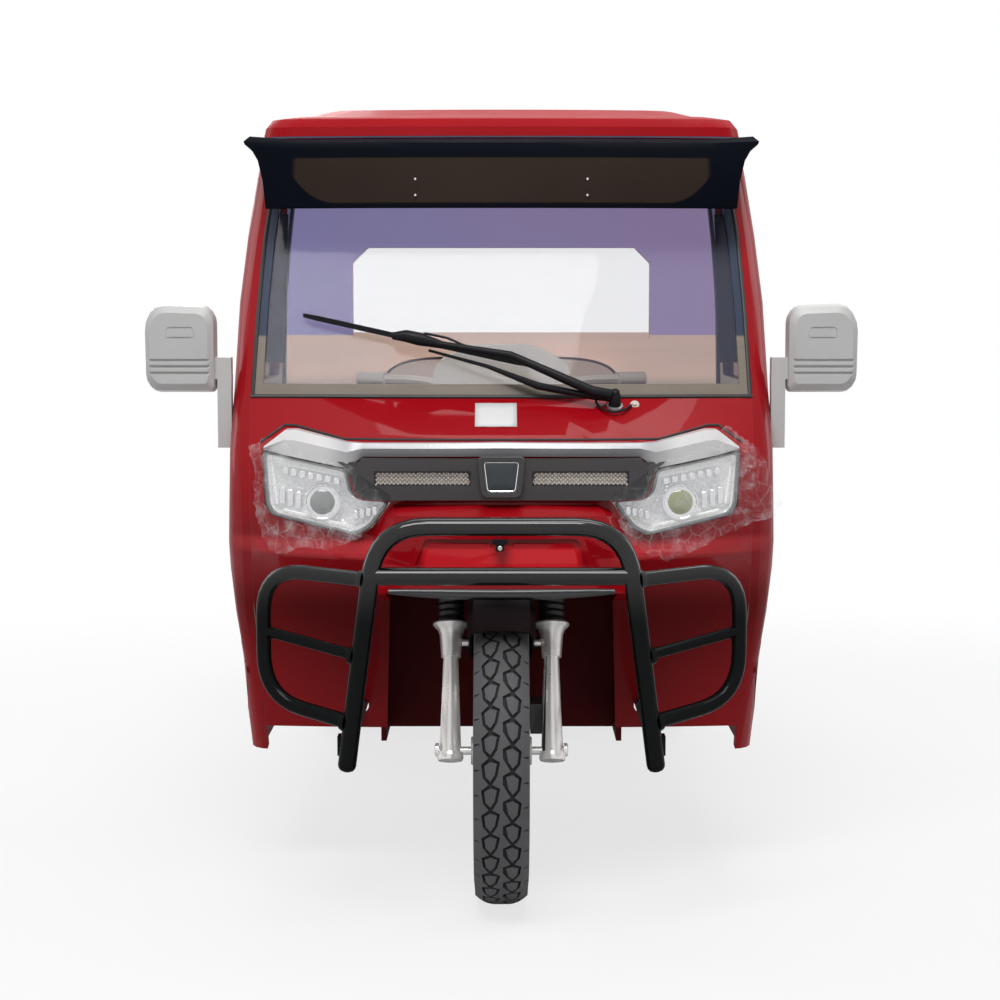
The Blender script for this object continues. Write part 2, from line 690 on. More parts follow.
# Headlamps: a dark rim round a bright metallised bowl with a projector in a ring, light bars along the
# top, outer and lower edges, rows of small blocks, and a clear cover on top.
LAMP_OUTLINE = ((0.517, 0.981), (0.327, 0.947), (0.316, 0.897), (0.297, 0.880), (0.235, 0.877),
                (0.275, 0.822), (0.308, 0.804), (0.496, 0.842), (0.511, 0.863))
LAMP_MIDDLE = (0.400, 0.895)
PROJECTOR_AT = (0.383, 0.874)
LIGHT_BARS = ((((0.340, 0.936), (0.400, 0.9465), (0.496, 0.964)), 0.0075),
              (((0.5000, 0.955), (0.494, 0.905), (0.488, 0.866)), 0.0060),
              (((0.470, 0.852), (0.400, 0.838), (0.325, 0.822)), 0.0045))
# Rows of small blocks in the bowl: how many, the first one's x and z, the step to the next, half the width,
# the reach below and above, and the depths of front and rear under the panel's face.
LAMP_BLOCKS = ((7, (0.352, 0.927), (0.019, 0.0030), 0.0065, 0.016, 0.0, 0.014, 0.026),
               (4, (0.270, 0.858), (0.0135, -0.0035), 0.0052, 0.010, 0.010, 0.010, 0.026),
               (3, (0.437, 0.876), (0.018, 0.004), 0.0065, 0.018, 0.018, 0.012, 0.028))
LAMP_RIM_STEPS = ((0.001, 0.040), (0.001, -0.004), (0.004, -0.007), (0.009, -0.006), (0.0115, 0.004),
                  (0.0115, 0.040))
BOWL_STEPS = ((0.0105, 0.006), (0.014, 0.016), (0.024, 0.030), (0.045, 0.034), (0.075, 0.036))
COVER_STEPS = ((0.004, -0.0065), (0.012, -0.0095), (0.028, -0.0115), (0.055, -0.0125), (0.085, -0.0130))
soft_lamp = rounded(LAMP_OUTLINE, 0.012, 4)
BAR_SECTION = ((-1, 0.018), (-1, 0.012), (-0.5, 0.009), (0.5, 0.009), (1, 0.012), (1, 0.018))
SEAM_X = 0.545
SEAM_Y = -1.142
SWEEP = 2.6

lamp_grey = used("lamp rim", (0.11, 0.115, 0.12), 0.25, tone=0.1, Coat_Weight=0.5)
bowl_silver = used("lamp bowl", (0.86, 0.86, 0.86), 0.20, 0.25, tone=None)
cells = bowl_silver.node("ShaderNodeTexVoronoi", (), {"Vector": bowl_silver.place(), "Scale": 120.0})
bowl_silver.bump(cells, 0.7, 0.003)
bowl_silver.feed("Base Color", bowl_silver.mix(bowl_silver.noise(60.0, 3.0, 0.6), (0.50, 0.50, 0.51),
                                               (0.97, 0.97, 0.97)))
bowl_silver.shader.inputs["Emission Color"].default_value = (1.0, 1.0, 1.0, 1.0)
bowl_silver.shader.inputs["Emission Strength"].default_value = 0.16
light_bar = used("light bar", (0.92, 0.92, 0.90), 0.20, tone=0.02, Emission_Strength=0.22)
light_bar.shader.inputs["Emission Color"].default_value = (1.0, 1.0, 0.98, 1.0)
lens_glass = used("clear projector lens", (0.26, 0.28, 0.26), 0.05, tone=0.1, Coat_Weight=1.0)
lens_green = used("green projector lens", (0.36, 0.38, 0.15), 0.06, tone=0.12, Coat_Weight=1.0)
clear_cover = Finish("clear cover", (0.92, 0.93, 0.94), 0.04, Alpha=0.13, Coat_Weight=1.0)
scuff = clear_cover.noise(30.0, 4.0, 0.6)
clear_cover.feed("Roughness", (scuff * 0.10).clamp())


def panel_y(x, z):
    """Where the front panel's face lies round the lamps: its middle line, swept back to the side seams."""
    if z > 0.995:
        apron = -1.236 + (z - 0.995) * 1.65
    else:
        apron = -1.252 + max(0.0, z - 0.972) * 0.7 - max(0.0, 0.9 - z) * 0.1
    return apron + (SEAM_Y - apron) * abs(x / SEAM_X) ** SWEEP


def lamp_shell(side, steps, cap_first=True):
    """A skin through the lamp's outline, which each step draws in by a gap and puts at a depth."""
    rings = []
    for gap, depth in steps:
        ring = [(side * held.x, panel_y(held.x, held.y) + depth, held.y)
                for held in drawn_in(soft_lamp, LAMP_MIDDLE, gap)]
        rings.append(ring if side < 0 else ring[::-1])
    bm = bmesh.new()
    lofted(bm, rings, cap_first)
    return bm


def dense(path, count=8):
    """The corners of a path with points put between them."""
    made = []
    for first, second in zip(path, path[1:]):
        made += [Vector(first).lerp(Vector(second), step / count) for step in range(count)]
    return made + [Vector(path[-1])]


def make_lamp(side, name):
    """One headlamp: its rim stands for the CAD lamp, and the rest is added to it."""
    node = f"headlamp_{name}"
    fitted(f"lamp_rim_{name}", lamp_shell(side, LAMP_RIM_STEPS), lamp_grey, node, replaced=True)
    bowl = object_from(f"lamp_bowl_{name}", lamp_shell(side, BOWL_STEPS, False), bowl_silver)
    modified(bowl, "SOLIDIFY", thickness=0.0015, offset=1.0)
    settle(bowl, node, False)
    x, z = PROJECTOR_AT
    middle = (side * x, panel_y(x, z), z)
    ring = bmesh.new()
    add_turned(ring, middle, (0, 1, 0), ((0.004, 0.0385), (0.000, 0.0378), (0.0005, 0.0352), (0.006, 0.0325),
                                         (0.030, 0.0330), (0.034, 0.0380)), 40)
    fitted(f"projector_ring_{name}", ring, chrome, node)
    lens = bmesh.new()
    add_turned(lens, middle, (0, 1, 0), ((-0.0010, 0.005), (-0.0006, 0.012), (0.0010, 0.020), (0.0035, 0.026),
                                         (0.0070, 0.0300), (0.012, 0.0318)), 40)
    fitted(f"projector_lens_{name}", lens, lens_glass if side < 0 else lens_green, node)
    bars = bmesh.new()
    for path, width in LIGHT_BARS:
        points = dense(path, 4)
        rings = []
        for index, point in enumerate(points):
            ahead = points[min(index + 1, len(points) - 1)] - points[max(index - 1, 0)]
            normal = Vector((-ahead.y, ahead.x)).normalized() * width
            ring = []
            for turn, depth in BAR_SECTION:
                held = point + normal * turn
                ring.append((side * held.x, panel_y(held.x, held.y) + depth, held.y))
            rings.append(ring)
        lofted(bars, rings)
    fitted(f"light_bars_{name}", bars, light_bar, node)
    vanes = bmesh.new()
    for count, start, step, half, below, above, front, rear in LAMP_BLOCKS:
        for index in range(count):
            x = start[0] + index * step[0]
            z = start[1] + index * step[1]
            y = panel_y(x, z)
            add_block(vanes, (side * x - half, y + front, z - below), (side * x + half, y + rear, z + above))
    blocks = object_from(f"lamp_blocks_{name}", outward(vanes), chrome)
    modified(blocks, "BEVEL", width=0.0016, segments=2)
    settle(blocks, node, False)
    fitted(f"lamp_cover_{name}", lamp_shell(side, COVER_STEPS, False), clear_cover, node)


make_lamp(1, "left")
make_lamp(-1, "right")

# Grille wings and seams: charcoal plates fill the corners between grille and lamps, a black rubber seam
# runs over the brow, and a black edging closes the nose's lower lip. The wings follow the panel's general
# form, and the seam and the edging lie on its own face.
PANEL_MISS_Y = -1.2


def on_panel(x, z, out=0.0):
    """A point a little in front of the front panel, found by a ray from ahead."""
    hit, place, normal, index = fascia.ray_cast(Vector((x, -2.0, z)), Vector((0, 1, 0)))
    front = place.y if hit else PANEL_MISS_Y
    return Vector((x, front - out, z))


WING_OUTER = ((0.350, 0.962), (0.324, 0.944), (0.313, 0.900), (0.296, 0.884), (0.236, 0.880))
WING_INNER = ((0.290, 0.962), (0.262, 0.945), (0.242, 0.915), (0.222, 0.892), (0.208, 0.882))
wings = bmesh.new()
for side in (1, -1):
    outer = dense(WING_OUTER, 5)
    inner = dense(WING_INNER, 5)
    sheets = []
    for depth in (0.0085, -0.010):
        rows = [[first.lerp(second, step / 5) for step in range(6)] for first, second in zip(outer, inner)]
        sheets.append([[Vector((side * point.x, panel_y(point.x, point.y) - depth, point.y)) for point in row]
                       for row in rows])
    rings = [front + back[::-1] for front, back in zip(*sheets)]
    lofted(wings, rings)
fitted("grille_wings", wings, charcoal, "grille")
seam = bmesh.new()
SEAM_PATH = ((-0.522, 0.998), (-0.472, 1.0335), (-0.446, 1.0335), (-0.338, 1.0075), (0.338, 1.0075),
             (0.446, 1.0335), (0.472, 1.0335), (0.522, 0.998))
add_tube(seam, [on_panel(point.x, point.y, 0.0005) for point in dense(SEAM_PATH, 10)], 0.0034, 8)
seam_black = used("seam rubber", (0.014, 0.006, 0.008), 0.5, grain=0.2)
fitted("brow_seam", seam, seam_black, "front_fascia")

lip = bmesh.new()
lip_path = [(step / 12 * 0.238, 0.6935 - 0.006 * (1 - (step / 12) ** 2)) for step in range(-12, 13)]
rings = []
for x, z in lip_path:
    front = min((on_panel(x, height) for height in (0.698, 0.705, 0.715)), key=lambda place: place.y)
    thick = 0.012 * (1 - 0.55 * (abs(x) / 0.25) ** 3)
    angles = [math.tau * turn / 12 for turn in range(12)]
    rings.append([Vector((x, front.y + 0.004 - 0.009 * math.cos(angle), z + thick * math.sin(angle)))
                  for angle in angles])
lofted(lip, rings)
edge_black = used("edging rubber", (0.010, 0.011, 0.013), 0.30, grain=0.2, Coat_Weight=0.3)
fitted("nose_edging", lip, edge_black, "front_fascia")

# Lamp films: the clear film a new vehicle's lamps come wrapped in, crumpled, clinging to each lamp and
# the panel round it, with loose ragged corners.
film_clear = Finish("clear film", (0.90, 0.91, 0.92), 0.16, Alpha=0.12, Coat_Weight=0.4)
crumple = film_clear.noise(26.0, 5.0, 0.65)
creases = film_clear.node("ShaderNodeTexVoronoi", {"feature": "DISTANCE_TO_EDGE"},
                          {"Vector": film_clear.place(), "Scale": 30.0})
crease_share = 1 - creases.smooth(0.0, 0.05)
film_clear.feed("Alpha", (crumple.smooth(0.44, 0.80) * 0.30 + crease_share * 0.13 + 0.035).clamp())
film_clear.feed("Roughness", (crumple * 0.2 + 0.06).clamp())
film_clear.bump(crumple + creases * 0.4, 0.8, 0.006)
COVER_RISE = 0.0125
FILM_EDGE_Y = -1.150
FILM_LEFT = ((0.484, 1.036), (0.520, 1.012), (0.545, 0.990), (0.568, 0.958), (0.578, 0.912), (0.600, 0.874),
             (0.588, 0.846), (0.530, 0.822), (0.462, 0.796), (0.404, 0.768), (0.352, 0.752), (0.300, 0.772),
             (0.268, 0.800), (0.240, 0.842), (0.226, 0.880), (0.240, 0.908), (0.276, 0.930), (0.322, 0.962),
             (0.388, 0.974), (0.440, 0.998))
FILM_RIGHT = ((0.505, 1.010), (0.546, 0.990), (0.533, 0.942), (0.535, 0.866), (0.522, 0.816), (0.500, 0.768),
              (0.470, 0.760), (0.430, 0.778), (0.372, 0.776), (0.325, 0.790), (0.282, 0.816), (0.241, 0.866),
              (0.250, 0.900), (0.282, 0.912), (0.296, 0.942), (0.330, 0.962), (0.380, 0.968), (0.450, 0.992))


def make_film(side, name, outline):
    """A film over one lamp: rings from its ragged edge to its middle, laid on the panel in small folds."""
    edge = [Vector((*point, 0)) for point in outline]
    middle = sum(edge, Vector()) / len(edge)
    dense_edge = []
    for index, corner in enumerate(edge):
        after = edge[(index + 1) % len(edge)]
        for step in range(5):
            point = corner.lerp(after, step / 5)
            ragged = 1 + 0.030 * math.sin(point.x * 310) * math.sin(point.y * 270)
            dense_edge.append(middle + (point - middle) * ragged)
    bm = bmesh.new()
    rings = []
    for share in (1.0, 0.94, 0.86, 0.76, 0.64, 0.50, 0.34, 0.18, 0.05):
        ring = []
        for point in dense_edge:
            held = middle + (point - middle) * share
            front = min(on_panel(side * held.x, held.y).y, panel_y(held.x, held.y) - COVER_RISE)
            if abs(held.x) > 0.520:
                front = min(front, FILM_EDGE_Y)
            fold = noise.noise(Vector((held.x * 34, held.y * 34, side * 3.0)))
            fine = noise.noise(Vector((held.x * 90, held.y * 90, side * 5.0)))
            ring.append((side * held.x, front - 0.0045 - 0.0035 * fold - 0.0015 * fine, held.y))
        rings.append(ring)
    lofted(bm, rings, cap_first=False)
    bm.normal_update()
    if sum(face.normal.y * face.calc_area() for face in bm.faces) > 0:
        bmesh.ops.reverse_faces(bm, faces=bm.faces)
    piece = object_from(f"lamp_film_{name}", bm, film_clear, 180.0)
    settle(piece, f"headlamp_{name}", False)


make_film(1, "left", FILM_LEFT)
make_film(-1, "right", FILM_RIGHT)

# Windows: a laminated screen and rear pane with a faint tint, thin enough to look through. The door panes
# are nearly black, as the photograph shows their inner sides.
glass = Finish("tinted glass", (0.45, 0.47, 0.66), 0.02, Alpha=0.07, Coat_Weight=0.3)
glass_haze = glass.noise(5.0, 4.0, 0.6)
glass.feed("Roughness", (glass_haze * 0.06).clamp())
for node in ("windscreen", "rear_window"):
    coat(node, glass)
door_glass = Finish("door glass", (0.004, 0.005, 0.007), 0.03, Alpha=0.93, Specular_IOR_Level=0.05)
door_glass.feed("Roughness", (door_glass.noise(6.0, 4.0) * 0.08).clamp())
for name in ("left", "right"):
    coat(f"door_glass_{name}", door_glass)

# Lining hem: the rear lining's tan lower part turned up a little over the rear window's lower edge.
hem_cloth = lining("lining hem", LINING_TAN, LINING_TAN, LINING_TAN, LINING_LOW)
hem = bmesh.new()
add_block(hem, (-0.385, -0.1970, 1.190), (0.385, -0.1945, 1.2215))
fitted("lining_hem", hem, hem_cloth, "rear_wall")

# Screen seal: a rubber bead round the glass, with the printed band of the screen's edge inside it. The
# band reflects sky above and ground below, so it is bluish above one height and brown under it.
seal_rubber = used("seal rubber", (0.018, 0.018, 0.019), 0.45, grain=0.2)
band = Finish("screen band", (0.05, 0.07, 0.11), 0.45, Specular_IOR_Level=0.15)
band_z = band.axes()[2]
upper = band.mix(band.noise(4.0, 3.0), (0.028, 0.040, 0.075), (0.048, 0.062, 0.100))
speckle = band.noise(22.0, 4.0, 0.6, stretch=(0.4, 1.0, 2.0))
lower = band.mix(speckle, (0.20, 0.165, 0.135), (0.27, 0.235, 0.19))
band.feed("Base Color", band.mix(band_z.smooth(1.222, 1.228), lower, upper))
dressed("windscreen_seal", band, 0.0010)


SCREEN_ROWS = ((1.092, 0.553, -1.045), (1.300, 0.548, -0.950), (1.450, 0.539, -0.880),
               (1.590, 0.522, -0.815), (1.676, 0.513, -0.775))
SCREEN_BOW = 0.035


def row_at(rows, z):
    """The values at a height, from rows that each start with their own height."""
    for low, high in zip(rows, rows[1:]):
        if z <= high[0] or high is rows[-1]:
            blend = (z - low[0]) / (high[0] - low[0])
            return [first + (second - first) * blend for first, second in zip(low[1:], high[1:])]


def screen_face(share, z):
    """The screen's bowed face at a share of its half width and a height."""
    half, front = row_at(SCREEN_ROWS, z)
    return Vector((share * half, front - SCREEN_BOW * (1 - share * share), z))


bead = bmesh.new()
runs = [[screen_face(-1 + 2 * step / 24, 1.0935) for step in range(25)]]
for share in (-0.992, 0.992):
    runs.append([screen_face(share, 1.096 + step * 0.0872) for step in range(7)])
for run in runs:
    add_tube(bead, [point + Vector((0, -0.001, 0)) for point in run], 0.0045, 8)
fitted("screen_bead", bead, seal_rubber, "windscreen_seal")

# Door seals: black rubber strips stuck inside the door openings, that close the gap the doors need to
# swing. Each runs along the sill, up the rear edge and forward under the roof, clear of the door itself.
# The section is given by its reach away from the door and its depth under the cab side's inner face.
SEAL_SECTION = ((-0.014, -0.009), (0.016, -0.009), (0.016, 0.001), (0.009, 0.001), (0.009, -0.004),
                (-0.014, -0.004))
SEAL_CORNER_Y = -0.263
SEAL_LOW_Z = 0.3725
SEAL_HIGH_Z = 1.566
SEAL_RADIUS = 0.035
SEAL_SILL_Y = -0.86
SEAL_ROOF_Y = -0.35


def seal_path():
    """Points (y, z) down the middle of the gap, each with its direction away from the door."""
    path = [(SEAL_SILL_Y + 0.15 * step, SEAL_LOW_Z - SEAL_RADIUS, 0.0, -1.0) for step in range(4)]
    rise = SEAL_HIGH_Z - SEAL_LOW_Z
    turns = [(math.radians(15 * step - 90), SEAL_LOW_Z) for step in range(7)]
    turns += [(0.0, SEAL_LOW_Z + rise * step / 20) for step in range(1, 20)]
    turns += [(math.radians(15 * step), SEAL_HIGH_Z) for step in range(7)]
    for angle, centre_z in turns:
        y = math.cos(angle)
        z = math.sin(angle)
        path.append((SEAL_CORNER_Y + SEAL_RADIUS * y, centre_z + SEAL_RADIUS * z, y, z))
    return path + [(SEAL_ROOF_Y - 0.12 * step, SEAL_HIGH_Z + SEAL_RADIUS, 0.0, 1.0) for step in range(4)]


for side, name in ((1, "left"), (-1, "right")):
    wall = bpy.data.objects[f"side_frame_{name}_dressed"]
    strip = bmesh.new()
    rings = []
    for y, z, out_y, out_z in seal_path():
        ring = []
        for out, depth in SEAL_SECTION:
            height = z + out * out_z
            found = wall.ray_cast(Vector((side * 0.2, -0.205, height)), Vector((side, 0, 0)))
            ring.append((found[1].x + side * depth, y + out * out_y, height))
        rings.append(ring)
    lofted(strip, rings)
    fitted(f"door_seal_{name}", strip, seal_rubber, f"side_frame_{name}")

# Pillar trims: narrow black mouldings inside the screen's edges, clipped to the pillars. They narrow
# towards the top.
TRIM_INNER_X = 0.487
TRIM_THICK = 0.006

pillar_black = used("pillar trim", (0.0015, 0.0015, 0.0018), 0.70, grain=0.2, Specular_IOR_Level=0.02)
for side, name in ((1, "left"), (-1, "right")):
    trim = bmesh.new()
    rings = []
    for step in range(9):
        z = 1.166 + 0.334 * step / 8
        inner = side * TRIM_INNER_X
        outer = side * (0.536 - 0.028 * step / 8)
        front = screen_face(0.94, z).y + 0.022
        rear = front + TRIM_THICK
        rings.append([(inner, front, z), (outer, front, z), (outer, rear, z), (inner, rear, z)])
    lofted(trim, rings)
    fitted(f"pillar_trim_{name}", trim, pillar_black, f"side_frame_{name}")

# Visor: a blow-moulded strip over the screen with a flared lip, black at its edges, with a smoked brown
# panel held by four screws.
visor_black = used("visor", (0.003, 0.004, 0.007), 0.50, grain=0.15, tone=None, Specular_IOR_Level=0.01)
visor_x, _, visor_z = visor_black.axes()
visor_span = visor_x * visor_x
wide = 1 - visor_span.smooth(0.208, 0.222)
corner = (visor_span - 0.135).clamp()
panel_low = (visor_z - corner * corner * 9.0).smooth(1.516, 1.522)
panel_high = 1 - visor_z.smooth(1.618, 1.623)
smoked = visor_black.mix(visor_black.noise(3.0, 3.0), (0.020, 0.013, 0.010), (0.034, 0.024, 0.019))
panel_share = wide * panel_low * panel_high
visor_black.feed("Base Color", visor_black.mix(panel_share, (0.0022, 0.0030, 0.0060), smoked))


def flared(place):
    """The visor's upper corners sweep up and out into short horns."""
    high = min(1.0, max(0.0, (place.z - 1.630) / 0.045))
    wide_share = min(1.0, max(0.0, (abs(place.x) - 0.470) / 0.080))
    place.x += math.copysign(0.013 * high * wide_share, place.x)
    place.z += 0.010 * high * wide_share


dressed("sun_visor", visor_black, 0.0012, shape=flared)
screws = bmesh.new()
for x in (-0.190, 0.190):
    for z in (1.535, 1.570):
        low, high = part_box("sun_visor")
        y = low[1] + 0.045 * (abs(x) / 0.53) ** 2.5 + (0.0004 if z > 1.55 else 0.0035)
        add_turned(screws, (x, y, z), (0, 1, 0), ((-0.0018, 0.0010), (-0.0014, 0.0024), (0.0005, 0.0028)), 12)
screw_metal = used("screw steel", (0.62, 0.60, 0.58), 0.30, 0.9)
fitted("visor_screws", screws, screw_metal, "sun_visor")

# Wiper: a parked arm of two rods, with its blade in a channel, on a washered pivot in the cowl.
WIPER_FOOT = Vector((0.247, -1.105, 1.088))
black_plastic = used("black plastic", (0.007, 0.007, 0.009), 0.40, grain=0.2, Specular_IOR_Level=0.15)


def on_screen(x, z, out):
    """A point in front of the screen's face."""
    half = 0.553 - (z - 1.092) * 0.03
    point = screen_face(x / half, z)
    return Vector((x, point.y - out, z))


arm = bmesh.new()
tip = on_screen(-0.441, 1.271, 0.012)
heel = on_screen(0.063, 1.162, 0.014)
joint = on_screen(-0.180, 1.2160, 0.026)
steps = 14
blade_points = [tip.lerp(heel, step / steps) for step in range(steps + 1)]
blade_points = [Vector((p.x, on_screen(p.x, p.z, 0.011).y, p.z)) for p in blade_points]
rings = []
for index, point in enumerate(blade_points):
    size = 0.0062 if 0 < index < steps else 0.0048
    lift = 0.55 + 0.45 * math.sin(math.pi * index / steps)
    section = ((-0.010 * lift, size), (-0.010 * lift, -size), (-0.002, -size * 0.9), (0.006, -0.001),
               (0.006, 0.001), (-0.002, size * 0.9))
    rings.append([(point.x, point.y + depth, point.z + rise) for depth, rise in section])
lofted(arm, rings)
add_tube(arm, [joint + Vector((-0.060, 0.000, 0.0100)), joint + Vector((-0.030, -0.004, 0.0100)),
               joint + Vector((0.000, -0.006, 0.0030)), joint + Vector((0.050, -0.004, -0.0100))],
         [0.0080, 0.0140, 0.0150, 0.0085], 12)
elbow = on_screen(0.020, 1.1850, 0.040)
upper = [joint, elbow, WIPER_FOOT + Vector((-0.050, -0.018, 0.020)),
         WIPER_FOOT + Vector((-0.010, -0.010, 0.012))]
add_tube(arm, upper, [0.0055, 0.0085, 0.0115, 0.012], 12)
lower = [joint + Vector((0.020, 0.004, -0.022)), on_screen(-0.030, 1.160, 0.030),
         on_screen(0.080, 1.118, 0.030), WIPER_FOOT + Vector((-0.040, -0.006, 0.006)),
         WIPER_FOOT + Vector((-0.008, -0.002, 0.002))]
add_tube(arm, lower, [0.0030, 0.0046, 0.0085, 0.0070, 0.006], 10)
add_tube(arm, [joint + Vector((0.010, -0.006, 0.016)), joint + Vector((0.060, -0.006, 0.006)),
               on_screen(-0.060, 1.196, 0.034), on_screen(0.000, 1.186, 0.036)], 0.0028, 8)
add_turned(arm, WIPER_FOOT + Vector((0, 0, -0.012)), (0, -0.35, 1),
           ((0.0, 0.0135), (0.020, 0.0130), (0.034, 0.0095), (0.037, 0.006)), 20)
fitted("wiper_arm", arm, black_plastic, "wiper", replaced=True)
washer = bmesh.new()
add_turned(washer, WIPER_FOOT + Vector((0, 0, -0.014)), (0, -0.55, 1),
           ((0, 0.0185), (0.003, 0.0180), (0.004, 0.012)), 24)
washer_metal = used("washer steel", (0.35, 0.35, 0.36), 0.35, 0.8)
fitted("wiper_washer", washer, washer_metal, "wiper")

# Cowl fittings: a bare white label stuck under the screen, and the washer's cream nozzle with its short
# black pipe.
COWL_ROWS = ((0.995, -1.236), (1.018, -1.198), (1.055, -1.140), (1.0895, -1.084))
COWL_OUT = Vector((0, -0.84, 0.54))


def on_cowl(x, z, out):
    """A point just off the sloping cowl above the brow."""
    apron = row_at(COWL_ROWS, z)[0]
    seam_front = -1.135 + (z - 0.975) * 0.77
    return Vector((x, apron + (seam_front - apron) * abs(x / 0.55) ** SWEEP, z)) + COWL_OUT * out


label = bmesh.new()
grid = []
for row in range(5):
    z = 1.033 + 0.047 * row / 4
    lifts = [0.0012 + 0.0004 * math.sin(column * 1.9 + row) for column in range(7)]
    grid.append([on_cowl(-0.057 + 0.0905 * column / 6, z, lift) for column, lift in enumerate(lifts)])
made = [[label.verts.new(point) for point in row] for row in grid]
for first, second in zip(made, made[1:]):
    for index in range(6):
        label.faces.new((first[index], first[index + 1], second[index + 1], second[index]))
paper = used("label paper", (0.74, 0.74, 0.73), 0.50, grain=0.1, tone=0.03)
label_piece = object_from("cowl_label", label, paper)
modified(label_piece, "SOLIDIFY", thickness=0.0006, offset=0.0)
settle(label_piece, "front_fascia", False)

nozzle = bmesh.new()
add_turned(nozzle, on_cowl(0.291, 1.0765, -0.002), COWL_OUT,
           ((0.0, 0.0105), (0.004, 0.0100), (0.0055, 0.0070), (0.0050, 0.0050), (0.0085, 0.0042),
            (0.0095, 0.0020)), 20)
cream = used("cream plastic", (0.62, 0.58, 0.48), 0.4)
fitted("washer_nozzle", nozzle, cream, "front_fascia")
hose = bmesh.new()
hose_path = [on_cowl(0.283, 1.074, 0.004), on_cowl(0.265, 1.062, 0.009), on_cowl(0.240, 1.058, 0.009),
             on_cowl(0.218, 1.066, 0.009), on_cowl(0.206, 1.078, 0.010), on_cowl(0.212, 1.087, 0.016)]
# A smooth curve through the pipe's points: each run bends towards the points before and after it.
smooth_path = []
for index in range(len(hose_path) - 1):
    before = hose_path[max(index - 1, 0)]
    a, b = hose_path[index], hose_path[index + 1]
    after = hose_path[min(index + 2, len(hose_path) - 1)]
    for step in range(4):
        t = step / 4
        smooth_path.append(0.5 * ((2 * a) + (b - before) * t + (2 * before - 5 * a + 4 * b - after) * t * t
                                  + (3 * a - before - 3 * b + after) * t ** 3))
smooth_path.append(hose_path[-1])
add_tube(hose, smooth_path, 0.0028, 8)
fitted("washer_pipe", hose, black_plastic, "front_fascia")

# Latch over the nose recess: a small dark catch with a bright screw.
latch = bmesh.new()
add_block(latch, (-0.019, -1.326, 0.796), (0.013, -1.309, 0.806))
add_block(latch, (-0.012, -1.328, 0.782), (0.006, -1.309, 0.797))
bmesh.ops.bevel(latch, geom=latch.edges[:], offset=0.0015, segments=2, affect="EDGES")
fitted("nose_latch", latch, black_plastic, "front_fascia")
catch = bmesh.new()
add_turned(catch, (-0.003, -1.327, 0.789), (0, -1, 0), ((0, 0.0050), (0.002, 0.0048), (0.003, 0.003)), 14)
fitted("nose_latch_screw", catch, screw_metal, "front_fascia")

# Bull bar: bent tube in gloss black enamel, welded, with plugged ends. The enamel is duller on the
# lower loops, where road grit has worn it.
gloss_black = used("gloss black enamel", (0.0026, 0.0032, 0.0036), 0.22, tone=0.1, Coat_Roughness=0.10,
                   Specular_IOR_Level=0.02)
gloss_rise = gloss_black.axes()[2].smooth(0.64, 0.78)
gloss_black.feed("Coat Weight", gloss_rise * 0.75 + 0.13)
gloss_black.bump(gloss_black.noise(30.0, 3.0, 0.5), 0.05, 0.004)


def add_bent(bm, points, bend, radius, sides=16, steps=8):
    """A tube along straight runs joined by arcs."""
    points = [Vector(point) for point in points]
    path = [points[0]]
    for before, corner, after in zip(points, points[1:], points[2:]):
        path += arc(before, corner, after, bend, steps)
    path.append(points[-1])
    add_tube(bm, path, radius, sides)


BAR_FRONT_Y = -1.450
BAR_LOOP = ((0.268, BAR_FRONT_Y, 0.738), (0.494, -1.360, 0.752), (0.494, -1.360, 0.480),
            (0.305, BAR_FRONT_Y, 0.444))
bar = bmesh.new()
hoop = [(-0.316, BAR_FRONT_Y, 0.356), (-0.254, BAR_FRONT_Y, 0.847), (0.254, BAR_FRONT_Y, 0.847),
        (0.316, BAR_FRONT_Y, 0.356)]
add_bent(bar, hoop, 0.105, 0.019, 20)
for side in (1, -1):
    bottom = Vector((side * 0.316, BAR_FRONT_Y, 0.356))
    down = (bottom - Vector((side * 0.254, BAR_FRONT_Y, 0.847))).normalized()
    add_turned(bar, bottom, down, ((-0.004, 0.0188), (0.004, 0.0180), (0.010, 0.0140), (0.013, 0.0070)), 20)
    add_bent(bar, [(side * x, y, z) for x, y, z in BAR_LOOP], 0.095, 0.0155, 16)
    add_tube(bar, [(side * 0.492, -1.361, 0.621), (side * 0.290, -1.446, 0.581)], 0.0115, 14)
    add_block(bar, (side * 0.316 - 0.020, -1.4455, 0.375), (side * 0.316 + 0.020, -1.411, 0.415))
    for x, y, z in ((0.268, -1.4500, 0.738), (0.306, -1.4500, 0.4445), (0.289, -1.4463, 0.581)):
        add_turned(bar, (side * x, y, z), (side * 1.0, 0.35, 0.08),
                   ((0.012, 0.0205), (0.018, 0.0195), (0.024, 0.0168)), 16)
add_tube(bar, [(-0.267, BAR_FRONT_Y, 0.746), (0.267, BAR_FRONT_Y, 0.746)], 0.0185, 20)
fitted("bull_bar_tubes", bar, gloss_black, "bull_bar", 40.0, replaced=True)

# Fork: polished and satin alloy legs with flared cups under black boots, clamps, and the axle ends.
steel = used("satin steel", (0.93, 0.91, 0.88), 0.30, 0.50, tone=0.05)
brushed = steel.noise(4.0, 3.0, 0.6, stretch=(60.0, 60.0, 2.0))
steel.bump(brushed, 0.10, 0.001)
FORK_RAKE = math.radians(22)
FORK_HALF = 0.111
fork_up = Vector((0, math.sin(FORK_RAKE), math.cos(FORK_RAKE)))
caliper_grey = used("caliper casting", (0.045, 0.042, 0.045), 0.40, 0.3, grain=0.3)


def leg_at(side, z):
    """The middle of a fork leg at a height."""
    return Vector((side * FORK_HALF, -1.180 + (z - 0.328) * math.tan(FORK_RAKE), z))


